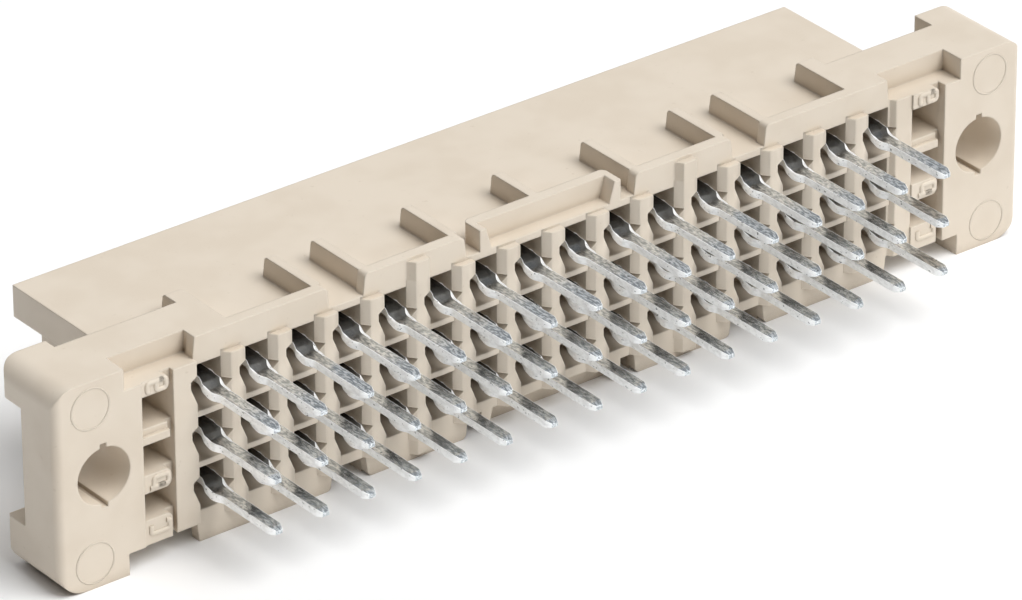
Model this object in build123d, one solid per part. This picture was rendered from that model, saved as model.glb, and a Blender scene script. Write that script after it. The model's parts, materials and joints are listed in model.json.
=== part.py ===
from build123d import *
import os

# Board connector, female half: a one-piece moulded housing that holds three rows of
# stamped contacts. The solder tails leave the board side, and the lead-ins for the
# mating pins are on the far side.
#
# Frame: +X runs along the strip, +Y is the direction in which it mates, +Z points from
# row c to row a. The origin lies midway between the two fixing holes, on the plane that
# seats on the board. All lengths are in millimetres.

# Contact grid
pitch = 2.54                # step between columns, and between rows
column_count = 16
row_letters = "abc"         # top row first
row_b_drop = 0.3            # the middle row lies this far below the fixing holes

# Cells that open to the board side, one for each contact
cell_width = 1.48
cell_above = 1.22           # from a row's centre up to the ceiling of its cells
cell_below = 1.04           # from a row's centre down to the floor of its cells
cell_depth = 2.4            # depth of the wide rear part, from the seating plane
roof_wall = 0.34            # wall above the top row's cells
floor_wall = 0.52           # wall below the bottom row's cells

# Posts between the columns
post_face = 0.1             # depth of the posts' faces behind the seating plane
post_bevel_width = 0.3      # bevel at the left of each post, along X
post_bevel_depth = 0.4      # and along Y
post_rise = 0.21            # the posts stand this far above the top cells' ceiling
tall_post_columns = (5, 11)  # posts after these columns run up and down into the rims
tall_post_rise = 1.24
end_post_face = 0.2
end_post_width = 1.26
ledge_face = 0.3            # depth of the ledges between the rows

# Notches in both sides of each cell, where the contacts' wings are pressed home
notch_depth = 0.33
notch_top = 0.8             # the heights are measured from the row's centre
notch_wide_top = 0.58
notch_wide_bottom = 0.22
notch_bottom = -0.6
right_notch_top = 0.15      # the right notch has a level top, which leaves a nub above it
notch_end = 1.3             # depth of the notches' inner ends, from the seating plane

# Rims and ribs along the two long sides
rim_face = 0.46             # depth of the rims' faces behind the seating plane
rim_thickness = 0.55
rim_height = 1.07
rim_draft = 0.12            # the ends of the rims spread by this towards their roots
rim_corner = 0.25           # rounds the rims' and ribs' free corners
outer_rim_start = 12.5      # the rim segments, from the middle of the strip outwards
outer_rim_end = 19.7
inner_rim_start = 4.9
inner_rim_end = 10.4
middle_rim_end = 4.0
middle_rim_corner = 0.3     # rounds the middle segment's back corners
middle_rim_setback = 0.75   # the middle segment is set back behind a ledge
cheek_top = 0.35            # thickness of its two end cheeks at the top
cheek_root = 0.65
rib_reach = 4.5             # depth of the ribs' far ends, from the seating plane
rib_draft = 0.15            # the far ends run out by this towards their roots
rib_width = 0.46
end_rib_start = 17.6
end_rib_width = 0.9
end_plate_face = 1.3        # depth of the plates beside the outer rims

# Mounting ends
hole_diameter = 2.8
hole_notch_width = 0.36
hole_notch_reach = 1.6      # from the hole's centre
hole_from_end = 2.5
label_width = 1.85          # column of row letters beside each end post
inner_shelf = 0.9           # low inner part of a mounting end
lug_length = 3.7            # full-height part of a mounting end
shoulder_depth = 3.5        # plate under the fastener's head; the mating body starts here
flange_depth = 4.75         # thickness of the lug above the fastener, at the right end
left_flange_depth = 4.2     # the same lug is thinner at the left end
lower_lug_depth = 3.9       # thickness of the lugs below the fasteners
lug_back_length = 2.5
recess_length = 0.9         # recess in the end face, between the lugs
recess_depth = 2.55
lug_gap_top = 3.4           # the gap between the lugs, above the middle row
lug_gap_bottom = 2.5        # and below the middle row
lower_corner = 1.4
upper_corner = 1.0
rear_edge = 0.4
front_edge = 0.6            # rounds the upright back edge of the upper lug

# Bars that carry the row letters, with pockets between them
label_face = 0.5            # depth of the bars behind the seating plane
pad_face = 0.1              # depth of the letter pads, which stand proud of the bars
pad_gap = 0.32              # the pads stop this far short of the column's right side
pad_corner = 0.3
pocket_depth = 3.0
label_a_height = 0.75
label_b_height = 0.9
label_b_top = -0.6          # above the middle row
label_c_height = 1.25
plain_bar_height = 0.68
plain_bar_bottom = 0.93     # above the middle row
plain_step_height = 0.3     # rebate along the plain bar's top
plain_step = 0.2

# Mating body
mating_reach = 10.9         # depth of the mating face, from the seating plane
tongue_overhang = 1.1       # the tongue is longer than the comb by this at each end
tongue_thickness = 1.6
root_depth = 4.35           # depth to which the whole body is as long as the tongue
lower_setback = 1.45        # beyond that, the lower part is shorter than the tongue
face_wall = 1.3             # wall that carries the lead-ins
entry_width = 0.96
funnel_width = 1.7
funnel_depth = 0.6

# Contacts
sheet = 0.38                # stock thickness
tail_width = 0.64
tail_reach = 4.68           # free end of the tails, beyond the seating plane
tip_length = 0.35
tip_share = 0.55            # size of the blunt tip against the tail
wing_width = 1.04
wing_start = -0.5           # wings, along Y from the seating plane
wing_end = 0.62
wing_slope = 0.45
jog_start = -0.25           # the blade steps up from here to the wings' inner end
jog_rise = 0.31
blade_width = 0.8
collar_gap = 0.1            # from the cell's inner end to the collar
collar_length = 2.2
collar_width = 0.96
collar_height = 1.0
collar_wall = 0.17          # side walls of the collar
collar_floor = 0.3          # wall between the blade and the hollow of the collar
chamber_clearance = 0.03    # around the collar
beam_thickness = 0.18
beam_gap = 0.26             # between the beams where they grip the pin
beam_flare = 0.62           # between the beams' free ends
beam_end_gap = 0.12         # from the beams' ends to the wall of the mating face
beam_grip = 1.3             # grip point, back from the beams' ends

# Derived places
row_count = len(row_letters)
middle_row = -row_b_drop
cell_ends = (column_count - 1) * pitch / 2 + cell_width / 2
comb_end = cell_ends + end_post_width
flange_start = comb_end + label_width
lug_start = flange_start + inner_shelf
overall_half = lug_start + lug_length
hole_place = overall_half - hole_from_end
row_span = (row_count - 1) * pitch / 2
comb_top = middle_row + row_span + cell_above + roof_wall
comb_bottom = middle_row - row_span - cell_below - floor_wall
rim_top = comb_top + rim_height
rim_bottom = comb_bottom - rim_height
post_width = pitch - cell_width
rim_back = rim_face + rim_thickness
middle_wall_face = rim_face + middle_rim_setback
middle_wall_back = middle_wall_face + rim_thickness
tongue_half = comb_end + tongue_overhang
lower_half = tongue_half - lower_setback
chamber_width = collar_width + 2 * chamber_clearance
chamber_height = collar_height + 2 * chamber_clearance
chamber_end = mating_reach - face_wall
overlap = 0.02              # joined shapes reach this far into each other


def column_x(column):
    """Place of a column; column 0 is at the left end."""
    return (column - (column_count - 1) / 2) * pitch


def row_z(row):
    """Height of a row; row 0 is row a, the top one."""
    return middle_row + row_span - row * pitch


def block(x_from, x_to, y_from, y_to, z_from, z_to):
    """Box between the given limits."""
    centre = Pos((x_from + x_to) / 2, (y_from + y_to) / 2, (z_from + z_to) / 2)
    return centre * Box(x_to - x_from, y_to - y_from, z_to - z_from)


def both_ends(shape):
    """A shape from the right half, with its mirror image in the left half."""
    return [shape, mirror(shape, about=Plane.YZ)]


def across(outline, half_width):
    """Solid from a closed outline of (y, z) points, centred on X."""
    face = make_face(Polyline(*[(0, y, z) for y, z in outline], close=True))
    return extrude(face, amount=half_width, both=True)


def along(outline, y_from, y_to):
    """Solid from a closed outline of (x, z) points, between two depths."""
    face = make_face(Polyline(*[(x, y_from, z) for x, z in outline], close=True))
    return extrude(face, amount=y_to - y_from, dir=(0, 1, 0))


def mounting_end(depth):
    """Right mounting end with its lugs, recess and fixing hole; depth is its upper lug's."""
    height = rim_top - rim_bottom
    middle = (rim_top + rim_bottom) / 2
    centre_x = lug_start + lug_length / 2
    rear = Plane.XZ * Pos(centre_x, middle) * Rectangle(lug_length, height)
    outer = rear.vertices().group_by(Axis.X)[-1].sort_by(Axis.Z)
    rear = fillet(outer[0], lower_corner)
    outer = rear.vertices().group_by(Axis.Z)[-1].sort_by(Axis.X)
    rear = fillet(outer[-1], upper_corner)
    body = extrude(rear, amount=-depth)

    plan = Pos(centre_x, depth / 2) * Rectangle(lug_length, depth)
    outer = plan.vertices().group_by(Axis.X)[-1].sort_by(Axis.Y)
    plan = fillet(outer[0], rear_edge)
    outer = plan.vertices().group_by(Axis.Y)[-1].sort_by(Axis.X)
    plan = fillet(outer[-1], front_edge)
    body = body & extrude(plan, amount=height, both=True)

    body += block(flange_start - overlap, lug_start + overlap, 0, shoulder_depth,
                  comb_bottom, comb_top)
    beyond_end = overall_half + overlap
    beyond_back = depth + overlap
    gap_bottom = middle_row - lug_gap_bottom
    gap_top = middle_row + lug_gap_top
    body -= block(lug_start - overlap, overall_half - lug_back_length,
                  shoulder_depth, beyond_back, rim_bottom - overlap, rim_top + overlap)
    body -= block(lug_start, beyond_end, lower_lug_depth, beyond_back, rim_bottom - overlap, gap_top)
    body -= block(lug_start, beyond_end, shoulder_depth, beyond_back, gap_bottom, gap_top)
    body -= block(overall_half - recess_length, beyond_end, recess_depth, beyond_back,
                  gap_bottom, gap_top)
    hole = Pos(hole_place, shoulder_depth / 2, 0) * Rot(90, 0, 0)
    body -= hole * Cylinder(hole_diameter / 2, 2 * shoulder_depth)
    body -= block(hole_place - hole_notch_width / 2, hole_place + hole_notch_width / 2,
                  -overlap, beyond_back, -hole_notch_reach, hole_notch_reach)
    return body


def mating_body():
    """Block that enters the other half: a wide tongue above a shorter lower part."""
    tongue_bottom = comb_top - tongue_thickness
    start = shoulder_depth - overlap
    return [
        block(-tongue_half, tongue_half, start, root_depth, comb_bottom, comb_top),
        block(-tongue_half, tongue_half, start, mating_reach, tongue_bottom, comb_top),
        block(-lower_half, lower_half, start, mating_reach, comb_bottom, tongue_bottom + overlap),
    ]


def rim_side(edge, direction):
    """Rim segments and ribs on one long side; direction is 1 on the row a side, else -1."""
    root = edge - direction * overlap
    tip = edge + direction * rim_height
    parts = []
    rims = [(outer_rim_start, outer_rim_end, False), (inner_rim_start, inner_rim_end, True)]
    for start, end, both_corners in rims:
        outline = [(start - rim_draft, root), (start, tip), (end, tip), (end + rim_draft, root)]
        front = make_face(Polyline(*[(x, rim_face, z) for x, z in outline], close=True))
        corners = [corner for corner in front.vertices()
                   if abs(corner.Z - tip) < overlap and (both_corners or corner.X < end)]
        front = fillet(corners, rim_corner)
        parts += both_ends(extrude(front, amount=rim_thickness, dir=(0, 1, 0)))

    parts.append(middle_rim(root, tip))
    ribs = [
        (inner_rim_start, rib_width),
        (inner_rim_end - rib_width, rib_width),
        (outer_rim_start, rib_width),
        (end_rib_start, end_rib_width),
    ]
    for start, width in ribs:
        parts += both_ends(Pos(start + width / 2, 0, 0) * rib(rim_back, root, tip, width))
    parts.append(rib(middle_wall_back, root, tip, rib_width))
    return parts


def middle_rim(root, tip):
    """Middle rim segment: a wall that is set back, between two cheeks."""
    low = min(root, tip)
    high = max(root, tip)
    shape = block(-middle_rim_end, middle_rim_end, middle_wall_face, middle_wall_back, low, high)
    cheek = [(middle_rim_end - cheek_root, root), (middle_rim_end - cheek_top, tip),
             (middle_rim_end, tip), (middle_rim_end, root)]
    shape += both_ends(along(cheek, rim_face, middle_wall_back))
    depth = middle_wall_back - rim_face
    plan = Pos(0, rim_face + depth / 2) * Rectangle(2 * middle_rim_end, depth)
    plan = fillet(plan.vertices().group_by(Axis.Y)[-1], middle_rim_corner)
    return shape & extrude(plan, amount=max(abs(root), abs(tip)), both=True)


def rib(rim, root, tip, width):
    """Rib that starts at the back of its rim, centred on X."""
    start = rim - overlap
    outline = [(start, root), (start, tip), (rib_reach, tip), (rib_reach + rib_draft, root)]
    side = make_face(Polyline(*[(0, y, z) for y, z in outline], close=True))
    corner = side.vertices().sort_by_distance((0, rib_reach, tip))[0]
    side = fillet(corner, rim_corner)
    return extrude(side, amount=width / 2, both=True)


def end_plates():
    """Raised plateaus on the row a side, from the end ribs to the mounting ends."""
    low = comb_top - overlap
    start = end_rib_start + overlap
    parts = both_ends(block(start, outer_rim_end, rim_back - overlap, shoulder_depth, low, rim_top))
    parts += both_ends(block(start, lug_start + overlap, end_plate_face, shoulder_depth, low, rim_top))
    return parts


def post(left, right, face, back, z_from, z_to):
    """Post between two depths, with a bevel at its left."""
    outline = [(left, back), (left, face + post_bevel_depth), (left + post_bevel_width, face),
               (right, face), (right, back)]
    base = make_face(Polyline(*[(x, y, z_from) for x, y in outline], close=True))
    return extrude(base, amount=z_to - z_from, dir=(0, 0, 1))


def posts():
    """All posts between the columns, and the two end posts."""
    half = post_width / 2
    ceiling = row_z(0) + cell_above
    floor = row_z(row_count - 1) - cell_below
    parts = []
    for gap in range(1, column_count):
        left = column_x(gap) - pitch / 2 - half
        right = left + post_width
        parts.append(post(left, right, post_face, cell_depth, comb_bottom, ceiling + post_rise))
        if gap in tall_post_columns:
            parts.append(post(left, right, post_face, rim_back, floor - tall_post_rise,
                              ceiling + tall_post_rise))
    parts.append(post(cell_ends, comb_end, end_post_face, cell_depth, comb_bottom, comb_top))
    parts.append(block(-comb_end, -cell_ends, end_post_face, cell_depth, comb_bottom, comb_top))
    return parts


def ledges():
    """Thin walls between the rows, a little behind the faces of the posts."""
    end = cell_ends + overlap
    return [block(-end, end, ledge_face, rim_back, row_z(row + 1) + cell_above,
                  row_z(row) - cell_below)
            for row in range(row_count - 1)]


def cell_notches():
    """Cutter for the two notches beside one cell, with the row's centre at zero."""
    side = cell_width / 2
    deep = side + notch_depth
    left = [(-side, notch_top), (-deep, notch_wide_top), (-deep, notch_wide_bottom),
            (-side, notch_bottom)]
    right = [(side, notch_bottom), (deep, right_notch_top), (side, right_notch_top)]
    return along(left + right + [(0, notch_top)], 0, notch_end)


def chamber():
    """Cutter for the inner chamber of one cell and its lead-in at the mating face."""
    body = block(-chamber_width / 2, chamber_width / 2, cell_depth - overlap, chamber_end,
                 -chamber_height / 2, chamber_height / 2)
    body += block(-entry_width / 2, entry_width / 2, chamber_end - overlap, mating_reach,
                  -entry_width / 2, entry_width / 2)
    start = mating_reach - funnel_depth
    slopes = across([(start, -entry_width / 2), (mating_reach, -funnel_width / 2),
                     (mating_reach, funnel_width / 2), (start, entry_width / 2)], funnel_width)
    funnel = slopes & Rot(0, 90, 0) * slopes
    return body + funnel


def label_bars():
    """Heights (from, to) of the bars beside the end posts, top bar first."""
    return [
        (comb_top - label_a_height, comb_top),
        (middle_row + plain_bar_bottom, middle_row + plain_bar_bottom + plain_bar_height),
        (middle_row + label_b_top - label_b_height, middle_row + label_b_top),
        (comb_bottom, comb_bottom + label_c_height),
    ]


def label_pads(start):
    """Pads on the bars of one label column; start is the column's left side."""
    end = start + label_width - pad_gap
    top_bar, plain_bar, middle_bar, bottom_bar = label_bars()
    pads = []
    for low, high in (top_bar, middle_bar, bottom_bar):
        pad = block(start - overlap, end, pad_face, label_face + overlap, low, high)
        corners = pad.edges().filter_by(Axis.Y).group_by(Axis.X)[-1].sort_by(Axis.Z)
        if low == comb_bottom:
            corners = corners[1:]
        pads.append(fillet(corners, pad_corner))
    low, high = plain_bar
    step = high - plain_step_height
    pads.append(block(start - overlap, end, pad_face, label_face + overlap, low, step))
    pads.append(block(start - overlap, end, pad_face + plain_step, label_face + overlap, low, high))
    return pads


def housing():
    """The moulded housing, one piece."""
    core = block(-flange_start, flange_start, label_face, shoulder_depth, comb_bottom, comb_top)
    core += block(-comb_end, comb_end, rim_face, shoulder_depth, comb_bottom, comb_top)
    core += mating_body()
    core += rim_side(comb_top, 1) + rim_side(comb_bottom, -1) + end_plates()
    core += [mounting_end(flange_depth), mirror(mounting_end(left_flange_depth), about=Plane.YZ)]

    cell = block(-cell_width / 2, cell_width / 2, -overlap, cell_depth, -cell_below, cell_above)
    cell += chamber()
    places = [(column_x(number), row_z(row)) for number in range(column_count)
              for row in range(row_count)]
    core -= [Pos(x, 0, z) * cell for x, z in places]

    bars = label_bars()
    for upper, lower in zip(bars, bars[1:]):
        core -= both_ends(block(comb_end, flange_start, label_face - overlap, pocket_depth,
                                lower[1], upper[0]))
    comb = posts() + ledges()
    core += comb + label_pads(comb_end) + label_pads(-flange_start)
    notches = cell_notches()
    core -= [Pos(x, 0, z) * notches for x, z in places]
    return core


def blade():
    """Tail, wings and jogged blade of a contact, with the row's centre at zero."""
    half = sheet / 2
    tip = -tail_reach
    full = tip + tip_length
    blunt = half * tip_share
    inner_end = cell_depth + collar_gap + overlap
    lower = [(tip, -blunt), (full, -half), (jog_start, -half),
             (wing_end, jog_rise - half), (inner_end, jog_rise - half)]
    upper = [(inner_end, jog_rise + half), (wing_end, jog_rise + half),
             (jog_start, half), (full, half), (tip, blunt)]
    strip = across(lower + upper, wing_width)

    tail = tail_width / 2
    wing = wing_width / 2
    neck = blade_width / 2
    blunt = tail * tip_share
    right = [(blunt, tip), (tail, full), (tail, wing_start - wing_slope), (wing, wing_start),
             (wing, wing_end - wing_slope), (neck, wing_end), (neck, inner_end)]
    left = [(-x, y) for x, y in reversed(right)]
    plan = extrude(make_face(Polyline(*right, *left, close=True)), amount=collar_height, both=True)
    return strip & plan


def fork():
    """Folded box behind the blade, and the two spring beams that leave it."""
    start = cell_depth + collar_gap
    end = start + collar_length
    half_h = collar_height / 2
    beam_end = chamber_end - beam_end_gap
    upper = [(start, half_h), (end, half_h)]
    lower = [(start + collar_floor, half_h - beam_thickness), (end, half_h - beam_thickness)]
    for y, gap in ((beam_end - beam_grip, beam_gap), (beam_end, beam_flare)):
        upper.append((y, gap / 2 + beam_thickness))
        lower.append((y, gap / 2))
    top = upper + lower[::-1]
    bottom = [(y, -z) for y, z in reversed(top)]
    beams = across(top + bottom, collar_width / 2)
    wall_end = half_h - beam_thickness + overlap
    wall = block(collar_width / 2 - collar_wall, collar_width / 2, start, end, -wall_end, wall_end)
    return [beams] + both_ends(wall)


def contact():
    """One stamped contact, with its row's centre at zero."""
    return blade() + fork()


os.makedirs("parts", exist_ok=True)
export_step(housing(), "parts/housing.step")
piece = contact()
for row, letter in enumerate(row_letters):
    for number in range(column_count):
        placed = Pos(column_x(number), 0, row_z(row)) * piece
        export_step(placed, f"parts/contact_{letter}{number + 1:02d}.step")
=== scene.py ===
import json
import math

import bmesh
import bpy
from bpy.props import FloatProperty, FloatVectorProperty, PointerProperty
from mathutils import Matrix, Vector

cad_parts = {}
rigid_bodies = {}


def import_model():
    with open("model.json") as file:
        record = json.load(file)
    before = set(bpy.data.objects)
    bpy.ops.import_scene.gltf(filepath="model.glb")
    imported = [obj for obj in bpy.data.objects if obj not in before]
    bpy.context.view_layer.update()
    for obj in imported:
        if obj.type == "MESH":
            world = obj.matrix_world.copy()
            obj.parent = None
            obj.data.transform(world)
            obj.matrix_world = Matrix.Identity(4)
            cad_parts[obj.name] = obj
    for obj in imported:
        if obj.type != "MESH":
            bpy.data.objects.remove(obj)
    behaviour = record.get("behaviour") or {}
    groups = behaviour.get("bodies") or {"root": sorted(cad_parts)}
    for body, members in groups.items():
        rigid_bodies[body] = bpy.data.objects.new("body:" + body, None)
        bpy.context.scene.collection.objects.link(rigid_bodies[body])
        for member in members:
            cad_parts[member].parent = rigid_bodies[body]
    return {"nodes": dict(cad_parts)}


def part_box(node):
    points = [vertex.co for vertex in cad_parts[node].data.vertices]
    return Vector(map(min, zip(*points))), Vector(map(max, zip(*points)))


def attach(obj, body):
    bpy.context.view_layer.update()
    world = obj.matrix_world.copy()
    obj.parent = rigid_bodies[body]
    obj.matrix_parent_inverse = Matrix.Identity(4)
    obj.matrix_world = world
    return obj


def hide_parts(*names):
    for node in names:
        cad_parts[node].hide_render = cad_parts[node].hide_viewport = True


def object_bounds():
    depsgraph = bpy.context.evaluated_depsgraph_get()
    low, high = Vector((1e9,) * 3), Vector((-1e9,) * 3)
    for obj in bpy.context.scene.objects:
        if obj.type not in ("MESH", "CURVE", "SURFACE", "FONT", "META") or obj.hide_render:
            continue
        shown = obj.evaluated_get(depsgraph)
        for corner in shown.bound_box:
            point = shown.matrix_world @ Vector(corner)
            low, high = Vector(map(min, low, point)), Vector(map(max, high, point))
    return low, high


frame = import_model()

# Board connector socket: finishes with painted highlights and painted shade for the moulded
# housing, detailed contacts with solder tails, raised row letters and the marks that the mould
# leaves, with a plain studio.

bl_info = {
    "name": "Board connector socket",
    "version": (1, 0, 0),
    "blender": (4, 5, 0),
    "location": "3D View > Sidebar > Connector",
    "description": "Dresses the packed model of a three-row board connector socket",
    "category": "Object",
}

MM = 0.001
cad_low, cad_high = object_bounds()
CONTACTS = sorted(name for name in frame["nodes"] if name.startswith("contact_"))
PLASTIC = "Glass-filled beige plastic"
TIN = "Bright streaked tin"

# The comb at the rear of the housing, in millimetres: X runs along the rows, Y in the mating
# direction and Z from row c to row a
PITCH = 2.54
POST_HALF_WIDTH = 0.53
POST_DEPTH = 0.55
COMB_REACH = 18.5
COMB_TOP = 3.78
COMB_BOTTOM = -4.42

# Depths in millimetres between which the contacts' flats go from bright to dark in the cells, as
# painted shade
UNSHADED_DEPTH = -0.5
PAINTED_SHADE_DEPTH = -0.22

# The middles of the label pads and of the ejectors' marks, in millimetres
PAD_COLUMNS = {"left": -22.02, "right": 21.93}
PAD_ROWS = {"a": 3.42, "b": -1.35, "c": -3.68}
PAD_FACE = 0.1
EJECTOR_COLUMNS = {"left": -25.6, "right": 25.6}
EJECTOR_ROWS = {"upper": 3.53, "lower": -4.19}


def size(default, name, description):
    """A length, given in millimetres, that a user may change."""
    return FloatProperty(name=name, description=description, default=default * MM, min=0.0,
                         precision=6, subtype="DISTANCE", unit="LENGTH")


def tint(default, name, description):
    """A colour that a user may change."""
    return FloatVectorProperty(name=name, description=description, default=default, size=3,
                               min=0.0, max=1.0, subtype="COLOR")


def amount(default, name, description, high=1.0):
    """A plain number that a user may change."""
    return FloatProperty(name=name, description=description, default=default, min=0.0, max=high)


class HousingSettings(bpy.types.PropertyGroup):
    """Finish of the moulded housing, with a painted highlight along its edges and painted shade in
    its recesses.
    """
    plastic: tint((0.735, 0.648, 0.537), "Plastic", "Colour of the moulded plastic")
    clouds: tint((0.70, 0.61, 0.498), "Clouds", "Colour of the faint flow clouds")
    fleck: tint((0.66, 0.57, 0.46), "Flecks", "Colour of the small flecks")
    # The edge colour is a painted highlight along the softened edges
    edge: tint((0.86, 0.77, 0.645), "Edge", "Colour along the rounded edges")
    # The recess colour is painted shade, laid on the plastic in recesses
    deep: tint((0.32, 0.245, 0.17), "Recess", "Colour that the plastic takes on deep in recesses")
    roughness: amount(0.42, "Roughness", "Roughness of the moulded skin")
    edge_radius: size(0.12, "Edge radius", "Radius of the softened edges")
    # The recess reach is how far the painted shade in recesses spreads
    recess: size(1.1, "Recess reach", "How far a recess darkens the plastic round it")
    grain: size(0.05, "Grain", "Size of the fine grain of the glass filling")


class ContactSettings(bpy.types.PropertyGroup):
    """Sizes and finish of the stamped contacts, whose flats get painted shade in the cells."""
    # The cut-edge colour is the cut edges' own tin, and a painted highlight on the rounded corners
    tin: tint((0.96, 0.975, 0.98), "Cut edges", "Colour of the tin on the cut edges")
    dull: tint((0.91, 0.95, 0.98), "Flats", "Colour of the tin on the flats")
    streak: tint((0.44, 0.48, 0.51), "Streaks", "Colour of the dull streaks on the flats")
    pit: tint((0.16, 0.17, 0.18), "Pits", "Colour of the small dark pits")
    sheet: size(0.38, "Sheet", "Thickness of the stamped sheet")
    tail_width: size(0.64, "Tail width", "Width of the solder tails")
    tail_reach: size(4.68, "Tail reach", "How far the tails stand beyond the seat")
    wing_width: size(1.04, "Wing width", "Width of the wings in the cells")
    blade_width: size(0.8, "Blade width", "Width of the blade behind the wings")
    jog: size(0.31, "Jog", "How far the blade steps up behind the wings")
    barb: size(0.09, "Barb", "How far the barb stands out at the blade's right edge")
    edge_radius: size(0.03, "Edge radius", "Radius along the stamped edges")
    lobe_radius: size(0.26, "Lobe radius", "Radius along the right edge of the wings")


class MarkSettings(bpy.types.PropertyGroup):
    """Raised row letters, and the marks of the mould."""
    letter_height: size(1.0, "Letter height", "Height of the raised row letters")
    letter_width: size(0.46, "Letter width", "Width of the raised row letters")
    stroke: size(0.13, "Stroke radius", "Radius of the letters' rounded strokes")
    ring_radius: size(1.02, "Ring radius", "Radius of the ejector rings")
    ring_line: size(0.05, "Ring line", "Half width of the low ridge round each ejector mark")


class StageSettings(bpy.types.PropertyGroup):
    """Floor and studio light."""
    floor: tint((0.985, 0.985, 0.985), "Floor", "Colour of the floor")
    sky: tint((0.56, 0.565, 0.57), "Studio", "Colour of the studio round the object")
    left_sky: tint((0.02, 0.02, 0.022), "Left side", "Colour of the studio at the left")
    dark_sky: tint((0.05, 0.055, 0.06), "Dark side", "Colour of the studio high behind the object")
    key: amount(10.8, "Key light", "Power of the main light in watts", 1000.0)
    fill: amount(1.8, "Fill light", "Power in watts of the light on the mating side", 1000.0)
    rim: amount(3.0, "Rim light", "Power in watts of the light along the contacts", 1000.0)


# Mesh helpers

def ring(y, corners, radii, steps=4):
    """Points of a four-cornered section with rounded corners, at one depth along the contact."""
    points = []
    count = len(corners)
    for index, corner in enumerate(corners):
        here = Vector(corner)
        before = (Vector(corners[index - 1]) - here).normalized()
        after = (Vector(corners[(index + 1) % count]) - here).normalized()
        start = here + before * radii[index]
        end = here + after * radii[index]
        for step in range(steps + 1):
            t = step / steps
            point = start.lerp(here, t).lerp(here.lerp(end, t), t)
            points.append(Vector((point.x, y, point.y)))
    return points


def loft(mesh, rings):
    """Skins a run of sections and closes both ends."""
    rows = [[mesh.verts.new(point) for point in points] for points in rings]
    for near, far in zip(rows, rows[1:]):
        for index in range(len(near)):
            before = index - 1
            mesh.faces.new((near[before], near[index], far[index], far[before]))
    mesh.faces.new(rows[0][::-1])
    mesh.faces.new(rows[-1])


def prism(mesh, outline, x_from, x_to):
    """Adds a flat outline, given as (y, z), pulled out along X, all in millimetres."""
    near = [mesh.verts.new((x_from * MM, y * MM, z * MM)) for y, z in outline]
    far = [mesh.verts.new((x_to * MM, y * MM, z * MM)) for y, z in outline]
    mesh.faces.new(near)
    mesh.faces.new(far[::-1])
    for index in range(len(near)):
        mesh.faces.new((near[index - 1], far[index - 1], far[index], near[index]))


def add_piece(mesh, name, material, place, smooth=40.0):
    """Turns a mesh into a piece of the object, riding on its only body."""
    bmesh.ops.recalc_face_normals(mesh, faces=mesh.faces)
    data = bpy.data.meshes.new(name)
    mesh.to_mesh(data)
    mesh.free()
    data.materials.append(material)
    for polygon in data.polygons:
        polygon.use_smooth = True
    data.set_sharp_from_angle(angle=math.radians(smooth))
    piece = bpy.data.objects.new(name, data)
    bpy.context.scene.collection.objects.link(piece)
    piece.location = place
    flats = piece.modifiers.new("Flat faces", "WEIGHTED_NORMAL")
    flats.keep_sharp = True
    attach(piece, "root")
    return piece


# Node helpers

def link(tree, source, output, target, socket):
    """Links a node's output to another node's input."""
    tree.links.new(source.outputs[output], target.inputs[socket])


def feed(tree, socket, value):
    """Links another node's output to a socket, or sets the socket to a plain value."""
    if isinstance(value, bpy.types.NodeSocket):
        tree.links.new(value, socket)
    else:
        socket.default_value = value


def math_node(tree, operation, *values):
    """One sum on sockets or plain numbers."""
    node = tree.nodes.new("ShaderNodeMath")
    node.operation = operation
    for socket, value in zip(node.inputs, values):
        feed(tree, socket, value)
    return node.outputs[0]


def split(tree, output):
    """The X, Y and Z parts of the surface's position or normal."""
    where = tree.nodes.new("ShaderNodeNewGeometry")
    parts = tree.nodes.new("ShaderNodeSeparateXYZ")
    link(tree, where, output, parts, 0)
    return parts.outputs


def band(tree, value, low, high, smooth=False):
    """Mask that goes from 0 to 1 while a value goes from low to high."""
    node = tree.nodes.new("ShaderNodeMapRange")
    if smooth:
        node.interpolation_type = "SMOOTHSTEP"
    feed(tree, node.inputs["Value"], value)
    feed(tree, node.inputs["From Min"], low)
    feed(tree, node.inputs["From Max"], high)
    return node.outputs["Result"]


def spread(tree, mask, low, high):
    """A value from low to high, following a mask."""
    node = tree.nodes.new("ShaderNodeMapRange")
    feed(tree, node.inputs["Value"], mask)
    node.inputs["To Min"].default_value = low
    node.inputs["To Max"].default_value = high
    return node.outputs["Result"]


def blend(tree, mask, low, high):
    """Mixes two colours, or sockets, by a mask."""
    node = tree.nodes.new("ShaderNodeMix")
    node.data_type = "RGBA"
    tree.links.new(mask, node.inputs["Factor"])
    for socket, value in ((node.inputs[6], low), (node.inputs[7], high)):
        feed(tree, socket, value if isinstance(value, bpy.types.NodeSocket) else (*value, 1.0))
    return node.outputs[2]


def shade(colour, share):
    """A colour made darker."""
    return [part * share for part in colour]


def new_group(name, inputs, outputs):
    """An empty shader node group with the given sockets."""
    tree = bpy.data.node_groups.new(name, "ShaderNodeTree")
    for label, default in inputs:
        socket = tree.interface.new_socket(label, in_out="INPUT", socket_type="NodeSocketFloat")
        socket.default_value = default
    for label in outputs:
        tree.interface.new_socket(label, in_out="OUTPUT", socket_type="NodeSocketFloat")
    return tree, tree.nodes.new("NodeGroupInput"), tree.nodes.new("NodeGroupOutput")


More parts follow.
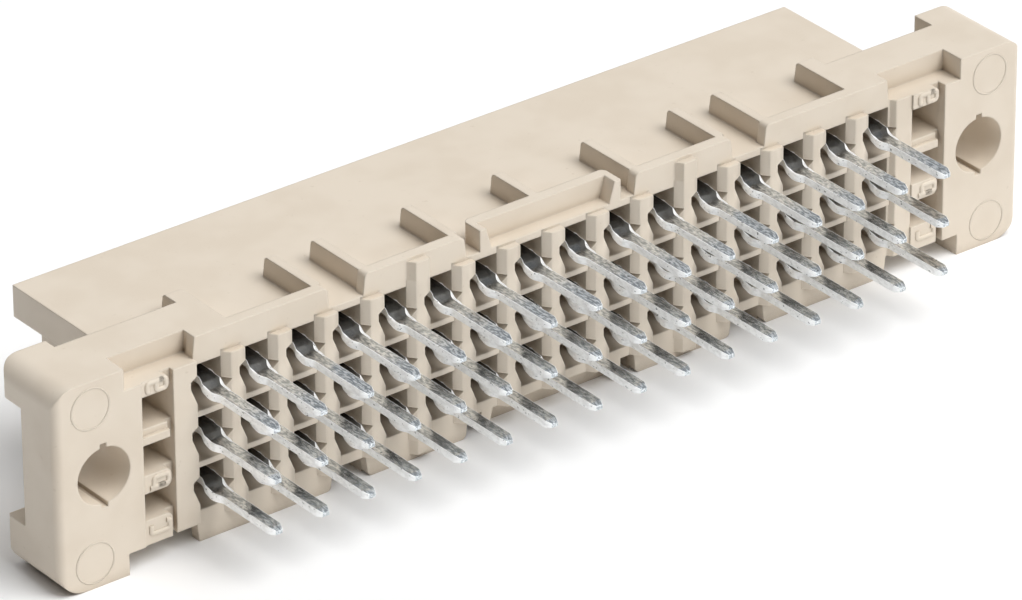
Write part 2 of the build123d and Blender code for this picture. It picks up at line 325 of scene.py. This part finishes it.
def mottling_group():
    """Noise over the surface, stretched along the mating direction by a named share."""
    inputs = [("Size", 0.1), ("Stretch", 1.0), ("Detail", 3.0), ("Low", 0.4), ("High", 0.6)]
    tree, given, result = new_group("Mottling", inputs, ["Mask", "Height"])
    place = split(tree, "Position")
    joined = tree.nodes.new("ShaderNodeCombineXYZ")
    squeezed = math_node(tree, "DIVIDE", place["Y"], given.outputs["Stretch"])
    feed(tree, joined.inputs["X"], place["X"])
    feed(tree, joined.inputs["Y"], squeezed)
    feed(tree, joined.inputs["Z"], place["Z"])
    noise = tree.nodes.new("ShaderNodeTexNoise")
    link(tree, joined, 0, noise, "Vector")
    feed(tree, noise.inputs["Scale"], math_node(tree, "DIVIDE", 1 / MM, given.outputs["Size"]))
    link(tree, given, "Detail", noise, "Detail")
    mask = band(tree, noise.outputs["Fac"], given.outputs["Low"], given.outputs["High"], True)
    feed(tree, result.inputs["Mask"], mask)
    link(tree, noise, "Fac", result, "Height")
    return tree


def openness_group():
    """Mask that falls from 1 in the open to 0 deep in a recess."""
    inputs = [("Reach", 1.0 * MM), ("Low", 0.2), ("High", 0.8)]
    tree, given, result = new_group("Openness", inputs, ["Mask"])
    recess = tree.nodes.new("ShaderNodeAmbientOcclusion")
    recess.samples = 4
    link(tree, given, "Reach", recess, "Distance")
    mask = band(tree, recess.outputs["AO"], given.outputs["Low"], given.outputs["High"])
    feed(tree, result.inputs["Mask"], mask)
    return tree


GROUPS = {"Mottling": mottling_group, "Openness": openness_group}


def effect(tree, name, **values):
    """A shared group placed in a material with its own values, and made the first time."""
    node = tree.nodes.new("ShaderNodeGroup")
    node.node_tree = bpy.data.node_groups.get(name) or GROUPS[name]()
    for label, value in values.items():
        node.inputs[label].default_value = value
    return node


# Finishes

def new_finish(name):
    """An empty material with its shader."""
    material = bpy.data.materials.new(name)
    material.use_nodes = True
    tree = material.node_tree
    return material, tree, tree.nodes["Principled BSDF"]


def rounded_posts(tree, normal):
    """Turns the normals on the rear faces of the comb's posts as if the posts were round."""
    place = split(tree, "Position")
    facing = split(tree, "Normal")
    # Distance from the middle of the nearest post, as a share of half a post's width
    turns = math_node(tree, "DIVIDE", place["X"], PITCH * MM)
    turns = math_node(tree, "FRACT", math_node(tree, "ADD", turns, 0.5))
    offset = math_node(tree, "MULTIPLY", math_node(tree, "SUBTRACT", turns, 0.5),
                       PITCH / POST_HALF_WIDTH)
    # Only faces that look to the rear, on the posts and just past their edges
    mask = math_node(tree, "LESS_THAN", math_node(tree, "ABSOLUTE", offset), 1.03)
    for limit in (
            math_node(tree, "LESS_THAN", math_node(tree, "ABSOLUTE", place["X"]), COMB_REACH * MM),
            math_node(tree, "LESS_THAN", place["Y"], POST_DEPTH * MM),
            math_node(tree, "LESS_THAN", place["Z"], COMB_TOP * MM),
            math_node(tree, "GREATER_THAN", place["Z"], COMB_BOTTOM * MM),
            math_node(tree, "LESS_THAN", facing["Y"], -0.5)):
        mask = math_node(tree, "MULTIPLY", mask, limit)
    # The lean to the side grows with the square of the distance
    square = math_node(tree, "MULTIPLY", offset, math_node(tree, "ABSOLUTE", offset))
    lean = tree.nodes.new("ShaderNodeCombineXYZ")
    feed(tree, lean.inputs["X"], math_node(tree, "MULTIPLY_ADD", square, 0.85, -0.05))
    lean.inputs["Y"].default_value = -0.74
    unit = tree.nodes.new("ShaderNodeVectorMath")
    unit.operation = "NORMALIZE"
    link(tree, lean, 0, unit, 0)
    mix = tree.nodes.new("ShaderNodeMix")
    mix.data_type = "VECTOR"
    feed(tree, mix.inputs["Factor"], mask)
    feed(tree, mix.inputs[4], normal)
    link(tree, unit, 0, mix, 5)
    return mix.outputs[1]


def moulded_plastic(settings):
    """Satin beige plastic with faint flow clouds, fine grain, a painted highlight along the
    softened edges and painted shade in recesses.
    """
    material, tree, shader = new_finish(PLASTIC)
    clouds = effect(tree, "Mottling", Size=2.4, Detail=2.0, Low=0.35, High=0.7)
    grain = effect(tree, "Mottling", Size=settings.grain / MM, Detail=2.0, Low=0.3, High=0.75)
    flecks = effect(tree, "Mottling", Size=0.3, Detail=3.0, Low=0.66, High=0.8)
    # Mask for the painted shade in recesses
    recess = effect(tree, "Openness", Reach=settings.recess, Low=0.2, High=0.52)

    # The painted highlight goes on the edges, where the softened normal turns away from the flat
    # one
    soft = tree.nodes.new("ShaderNodeBevel")
    soft.samples = 4
    soft.inputs["Radius"].default_value = settings.edge_radius
    flat = tree.nodes.new("ShaderNodeNewGeometry")
    alike = tree.nodes.new("ShaderNodeVectorMath")
    alike.operation = "DOT_PRODUCT"
    link(tree, soft, 0, alike, 0)
    link(tree, flat, "Normal", alike, 1)
    edges = band(tree, alike.outputs["Value"], 0.995, 0.8)

    colour = blend(tree, clouds.outputs["Mask"], settings.plastic, settings.clouds)
    colour = blend(tree, flecks.outputs["Mask"], colour, settings.fleck)
    # Painted highlight along the edges
    colour = blend(tree, edges, colour, settings.edge)
    # Painted shade in recesses
    colour = blend(tree, recess.outputs["Mask"], settings.deep, colour)
    feed(tree, shader.inputs["Base Color"], colour)
    smoothest = settings.roughness - 0.05
    roughest = settings.roughness + 0.12
    rough = spread(tree, grain.outputs["Mask"], smoothest, roughest)
    feed(tree, shader.inputs["Roughness"], rough)
    shader.inputs["Specular IOR Level"].default_value = 0.4

    bump = tree.nodes.new("ShaderNodeBump")
    bump.inputs["Strength"].default_value = 0.12
    bump.inputs["Distance"].default_value = 0.02 * MM
    link(tree, grain, "Height", bump, "Height")
    feed(tree, bump.inputs["Normal"], rounded_posts(tree, soft.outputs[0]))
    link(tree, bump, "Normal", shader, "Normal")
    return material


def tin_plating(settings):
    """Tin: streaked flats with painted shade in the cells, bright cut edges whose whiter tin is a
    painted highlight on the rounded corners, and small dark pits.
    """
    material, tree, shader = new_finish(TIN)
    streaks = effect(tree, "Mottling", Size=0.09, Stretch=3.5, Detail=4.0, Low=0.38, High=0.6)
    patches = effect(tree, "Mottling", Size=0.16, Stretch=2.0, Detail=4.0, Low=0.4, High=0.62)
    pits = effect(tree, "Mottling", Size=0.1, Stretch=1.6, Detail=2.0, Low=0.66, High=0.71)
    # Mask for the painted shade on the flats deep in the cells
    free = effect(tree, "Openness", Reach=1.1 * MM, Low=0.3, High=0.75)

    # The cut edges and rounded corners are what leans to either side: the whiter tin is the cut
    # edges' own, and on the rounded corners it is a painted highlight
    sideways = math_node(tree, "ABSOLUTE", split(tree, "True Normal")["X"])
    cut = math_node(tree, "GREATER_THAN", sideways, 0.12)
    outside = band(tree, split(tree, "Position")["Y"], PAINTED_SHADE_DEPTH * MM, UNSHADED_DEPTH * MM)
    bright = math_node(tree, "MULTIPLY", free.outputs["Mask"], outside)

    flat = blend(tree, streaks.outputs["Mask"], settings.dull, settings.streak)
    # Painted shade: the flats darken in the cells
    flat = blend(tree, bright, shade(settings.dull, 0.16), flat)
    side = blend(tree, patches.outputs["Mask"], settings.tin, shade(settings.tin, 0.88))
    # Whiter tin on the cut edges, and as a painted highlight on the rounded corners
    colour = blend(tree, cut, flat, side)
    colour = blend(tree, pits.outputs["Mask"], colour, settings.pit)
    feed(tree, shader.inputs["Base Color"], colour)
    # The cut edges mirror less, and are rougher, than the flats
    feed(tree, shader.inputs["Metallic"], spread(tree, cut, 0.95, 0.35))
    worn = spread(tree, patches.outputs["Mask"], 0.17, 0.27)
    rough = math_node(tree, "MAXIMUM", worn, spread(tree, cut, 0.0, 0.45))
    feed(tree, shader.inputs["Roughness"], rough)

    bump = tree.nodes.new("ShaderNodeBump")
    bump.inputs["Strength"].default_value = 0.2
    bump.inputs["Distance"].default_value = 0.004 * MM
    link(tree, patches, "Height", bump, "Height")
    link(tree, bump, "Normal", shader, "Normal")
    return material


def plastic():
    """The plastic, made the first time that it is asked for."""
    return bpy.data.materials.get(PLASTIC) or moulded_plastic(bpy.context.scene.connector_housing)


def tin():
    """The tin, made the first time that it is asked for."""
    return bpy.data.materials.get(TIN) or tin_plating(bpy.context.scene.connector_contact)


# The pieces of the object

class CONNECTOR_OT_housing(bpy.types.Operator):
    """Give the moulded housing its plastic"""
    bl_idname = "connector.housing"
    bl_label = "Moulded housing"

    def execute(self, context):
        body = frame["nodes"]["housing"]
        body.data.materials.clear()
        body.data.materials.append(plastic())
        return {"FINISHED"}


def blade_sections(settings):
    """Sections of the tail, wings and jogged blade, from the free end inwards."""
    half = settings.sheet / MM / 2
    tail = settings.tail_width / MM / 2
    wing = settings.wing_width / MM / 2
    neck = settings.blade_width / MM / 2
    tip = -settings.tail_reach / MM
    jog = settings.jog / MM
    barb = settings.barb / MM
    edge = settings.edge_radius / MM
    lobe = settings.lobe_radius / MM
    # Depth, half width, share of the thickness, rise, barb, radius of the top right edge
    rows = [
        (tip, tail * 0.55, 0.55, 0, 0, edge),
        (tip + 0.03, tail * 0.62, 0.62, 0, 0, edge),
        (tip + 0.33, tail * 0.98, 0.98, 0, 0, edge),
        (tip + 0.42, tail, 1, 0, 0, edge),
        (-2.6, tail, 1, 0, 0, edge),
        (-1.05, tail, 1, 0, 0, edge),
        (-0.94, tail + 0.01, 1, 0, 0, edge * 1.3),
        (-0.84, tail + 0.05, 1, 0, 0, lobe * 0.5),
        (-0.62, wing - 0.04, 1, 0, 0, lobe * 0.9),
        (-0.52, wing - 0.01, 1, 0, 0, lobe),
        (-0.42, wing, 1, 0, 0, lobe),
        (-0.3, wing, 1, 0, 0, lobe),
        (-0.2, wing, 1, jog * 0.06, 0, lobe),
        (-0.08, wing, 1, jog * 0.19, 0, lobe * 0.9),
        (0.1, wing, 1, jog * 0.4, 0, lobe * 0.5),
        (0.2, wing - 0.02, 1, jog * 0.52, 0, edge * 1.3),
        (0.3, wing - 0.06, 1, jog * 0.63, 0, edge),
        (0.42, neck + 0.02, 1, jog * 0.77, 0, edge),
        (0.54, neck, 1, jog * 0.92, 0, edge),
        (0.66, neck, 1, jog, 0, edge),
        (0.72, neck, 1, jog, 0, edge),
        (0.77, neck, 1, jog, barb, lobe * 0.5),
        (0.9, neck, 1, jog, barb, lobe * 0.5),
        (0.96, neck, 1, jog, 0, edge),
        (2.52, neck, 1, jog, 0, edge),
    ]
    rings = []
    for y, width, share, rise, bump, radius in rows:
        low = rise - half * share
        high = rise + half * share
        corners = [(-width, low), (width + bump, low), (width + bump, high), (-width, high)]
        radii = (edge, edge, radius, max(edge, radius * 0.35))
        rings.append([point * MM for point in ring(y, corners, radii)])
    return rings


def fork(mesh):
    """Folded box and spring beams behind the blade."""
    box_start = 2.5
    box_end = 4.7
    beam_end = 9.48
    # Where the beams come nearest to each other
    grip = beam_end - 1.3
    # From the middle to the outside and to the inside of the side walls
    side = 0.48
    inside = 0.31
    outline = [(box_start, 0.5), (box_end, 0.5), (grip, 0.31), (beam_end, 0.49),
               (beam_end, 0.31), (grip, 0.13), (box_end, 0.32), (box_start + 0.3, 0.32)]
    outline += [(y, -z) for y, z in reversed(outline)]
    prism(mesh, outline, -side, side)
    wall = [(box_start, -0.34), (box_end, -0.34), (box_end, 0.34), (box_start, 0.34)]
    prism(mesh, wall, -side, -inside)
    prism(mesh, wall, inside, side)


class CONNECTOR_OT_contacts(bpy.types.Operator):
    """Build the 48 stamped contacts with their solder tails"""
    bl_idname = "connector.contacts"
    bl_label = "Contacts"

    def execute(self, context):
        rings = blade_sections(context.scene.connector_contact)
        for node in CONTACTS:
            low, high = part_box(node)
            place = ((low.x + high.x) / 2, 0, (low.z + high.z) / 2)
            mesh = bmesh.new()
            loft(mesh, rings)
            fork(mesh)
            piece = add_piece(mesh, "tin_" + node, tin(), place)
            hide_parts(node)
        return {"FINISHED"}


def stroke_piece(name, strokes, radius, place, rise):
    """Raised mark made of rounded strokes that are sunk halfway into the face below them."""
    curve = bpy.data.curves.new(name, "CURVE")
    curve.dimensions = "3D"
    curve.bevel_depth = radius
    curve.bevel_resolution = 3
    curve.resolution_u = 6
    curve.use_fill_caps = True
    for points, closed in strokes:
        spline = curve.splines.new("NURBS")
        spline.points.add(len(points) - 1)
        for index, (across, along) in enumerate(points):
            spline.points[index].co = (across, 0, along, 1)
        spline.order_u = 3
        spline.use_cyclic_u = closed
        spline.use_endpoint_u = not closed
    source = bpy.data.objects.new(name, curve)
    data = bpy.data.meshes.new_from_object(source)
    bpy.data.objects.remove(source)
    mesh = bmesh.new()
    mesh.from_mesh(data)
    bpy.data.meshes.remove(data)
    for vert in mesh.verts:
        vert.co.y *= rise
    return add_piece(mesh, name, plastic(), place, 60.0)


def bowl(top):
    """Closed loop of a letter from its foot up to a share of its height."""
    return ([(-0.5, 0.0), (0.0, 0.0), (0.5, 0.0), (0.5, top / 2), (0.5, top), (0.0, top),
             (-0.5, top), (-0.5, top / 2)], True)


# Strokes of the row letters, as (right, up) in shares of the letter's width and height, and
# whether each is closed
LETTERS = {
    "a": [([(0.5, 0.0), (0.5, 0.5), (0.5, 1.0), (0.0, 1.0), (-0.45, 1.0), (-0.5, 0.86)], False),
          bowl(0.52)],
    "b": [([(-0.5, 1.0), (-0.5, 0.5), (-0.5, 0.0)], False), bowl(0.78)],
    "c": [([(0.5, 0.2), (0.45, 0.0), (-0.1, 0.0), (-0.5, 0.0), (-0.5, 0.5), (-0.5, 1.0),
            (-0.1, 1.0), (0.45, 1.0)], False)],
}


class CONNECTOR_OT_letters(bpy.types.Operator):
    """Raise the generic row letters on the pads at both ends"""
    bl_idname = "connector.letters"
    bl_label = "Row letters"

    def execute(self, context):
        settings = context.scene.connector_marks
        for side, column in PAD_COLUMNS.items():
            for letter, row in PAD_ROWS.items():
                strokes = []
                for points, closed in LETTERS[letter]:
                    # The letters lie on their side, with their tops towards the left
                    turned = [((0.5 - up) * settings.letter_height, right * settings.letter_width)
                              for right, up in points]
                    strokes.append((turned, closed))
                place = (column * MM, PAD_FACE * MM, row * MM)
                stroke_piece(f"letter_{letter}_{side}", strokes, settings.stroke, place, 0.6)
        return {"FINISHED"}


class CONNECTOR_OT_marks(bpy.types.Operator):
    """Draw the faint rings that the ejectors leave on the mounting ends"""
    bl_idname = "connector.marks"
    bl_label = "Mould marks"

    def execute(self, context):
        settings = context.scene.connector_marks
        count = 16
        circle = [(math.cos(math.tau * step / count) * settings.ring_radius,
                   math.sin(math.tau * step / count) * settings.ring_radius)
                  for step in range(count)]
        for side, column in EJECTOR_COLUMNS.items():
            for end, row in EJECTOR_ROWS.items():
                stroke_piece(f"ejector_ring_{side}_{end}", [(circle, True)], settings.ring_line,
                             (column * MM, 0, row * MM), 0.4)
        return {"FINISHED"}


# The stage

def lay_floor(scene, settings):
    """Pale floor under the object."""
    mesh = bmesh.new()
    bmesh.ops.create_grid(mesh, x_segments=1, y_segments=1, size=3.0)
    data = bpy.data.meshes.new("floor")
    mesh.to_mesh(data)
    mesh.free()
    material, tree, shader = new_finish("Pale floor")
    clouds = effect(tree, "Mottling", Size=60.0, Detail=2.0, Low=0.3, High=0.7)
    colour = blend(tree, clouds.outputs["Mask"], settings.floor, shade(settings.floor, 0.985))
    feed(tree, shader.inputs["Base Color"], colour)
    shader.inputs["Roughness"].default_value = 0.8
    data.materials.append(material)
    floor = bpy.data.objects.new("floor", data)
    floor.location = (0, 0, cad_low.z)
    scene.collection.objects.link(floor)


def paint_studio(scene, settings):
    """Even studio that darkens towards the left, and high behind the object."""
    world = bpy.data.worlds.new("Studio")
    scene.world = world
    world.use_nodes = True
    sky = world.node_tree
    where = sky.nodes.new("ShaderNodeTexCoord")
    backdrop = settings.sky
    # Direction, where the darkening starts and would end as its cosine, and colour
    for side, start, end, dark in (((-1, 0, 0), -0.1, 0.75, settings.left_sky),
                                   ((0.53, 0.69, 0.48), 0.7, 1.6, settings.dark_sky)):
        facing = sky.nodes.new("ShaderNodeVectorMath")
        facing.operation = "DOT_PRODUCT"
        facing.inputs[1].default_value = side
        link(sky, where, "Generated", facing, 0)
        mask = band(sky, facing.outputs["Value"], start, end, True)
        backdrop = blend(sky, mask, backdrop, dark)
    feed(sky, sky.nodes["Background"].inputs["Color"], backdrop)


def hang_lamps(scene, settings):
    """Key light, fill light on the mating side, and a rim light for the contacts alone."""
    contacts = bpy.data.collections.new("Contacts in the rim light")
    for piece in scene.objects:
        if piece.name.startswith("tin_"):
            contacts.objects.link(piece)
    # Name, place and width in metres, power, and the only pieces that it lights
    for name, place, width, power, takers in (
            ("key", (0.25, -0.5, 0.95), 0.8, settings.key, None),
            ("fill", (-0.1, 0.95, 0.45), 0.9, settings.fill, None),
            ("rim", (-0.85, -0.3, 0.33), 0.5, settings.rim, contacts)):
        lamp = bpy.data.lights.new(name, "AREA")
        lamp.size = width
        lamp.energy = power
        holder = bpy.data.objects.new(name, lamp)
        holder.location = place
        holder.rotation_euler = Vector(place).to_track_quat("Z", "Y").to_euler()
        holder.light_linking.receiver_collection = takers
        scene.collection.objects.link(holder)


def place_camera(scene):
    """Camera with a long lens at the photograph's angle, as fitted to the contacts' tails."""
    place = (-0.19397, -0.24895, 0.17373)
    right = Vector((0.7912, -0.6116, -0.0051)).normalized()
    back = Vector((-0.534, -0.6948, 0.4818)).normalized()
    up = back.cross(right).normalized()
    right = up.cross(back)
    turn = Matrix((right, up, back)).transposed().to_4x4()
    lens = bpy.data.cameras.new("camera")
    lens.sensor_width = 36.0
    lens.lens = 281.18
    lens.clip_start = 0.01
    camera = bpy.data.objects.new("camera", lens)
    camera.matrix_world = Matrix.Translation(place) @ turn
    scene.collection.objects.link(camera)
    scene.camera = camera


class CONNECTOR_OT_stage(bpy.types.Operator):
    """Lay the pale floor, and set the studio light and the camera"""
    bl_idname = "connector.stage"
    bl_label = "Stage"

    def execute(self, context):
        scene = context.scene
        scene.view_settings.view_transform = "Standard"
        lay_floor(scene, scene.connector_stage)
        paint_studio(scene, scene.connector_stage)
        hang_lamps(scene, scene.connector_stage)
        place_camera(scene)
        return {"FINISHED"}


# The add-on

SETTINGS = {
    "connector_housing": HousingSettings,
    "connector_contact": ContactSettings,
    "connector_marks": MarkSettings,
    "connector_stage": StageSettings,
}

PANEL_ROWS = {
    "connector_housing": ["connector.housing"],
    "connector_contact": ["connector.contacts"],
    "connector_marks": ["connector.letters", "connector.marks"],
    "connector_stage": ["connector.stage"],
}


class CONNECTOR_PT_panel(bpy.types.Panel):
    """Sidebar panel with every piece of the connector"""
    bl_idname = "CONNECTOR_PT_panel"
    bl_label = "Board connector"
    bl_space_type = "VIEW_3D"
    bl_region_type = "UI"
    bl_category = "Connector"

    def draw(self, context):
        for settings, operators in PANEL_ROWS.items():
            box = self.layout.box()
            group = getattr(context.scene, settings)
            for label in group.bl_rna.properties.keys():
                if label not in ("rna_type", "name"):
                    box.prop(group, label)
            for operator in operators:
                box.operator(operator)


CLASSES = [*SETTINGS.values(), CONNECTOR_OT_housing, CONNECTOR_OT_contacts, CONNECTOR_OT_letters,
           CONNECTOR_OT_marks, CONNECTOR_OT_stage, CONNECTOR_PT_panel]


def register():
    for kind in CLASSES:
        bpy.utils.register_class(kind)
    for name, kind in SETTINGS.items():
        setattr(bpy.types.Scene, name, PointerProperty(type=kind))


def unregister():
    for name in SETTINGS:
        delattr(bpy.types.Scene, name)
    for kind in reversed(CLASSES):
        bpy.utils.unregister_class(kind)


def main():
    """Builds every piece."""
    register()
    bpy.ops.connector.housing()
    bpy.ops.connector.contacts()
    bpy.ops.connector.letters()
    bpy.ops.connector.marks()
    bpy.ops.connector.stage()


if __name__ == "__main__":
    main()
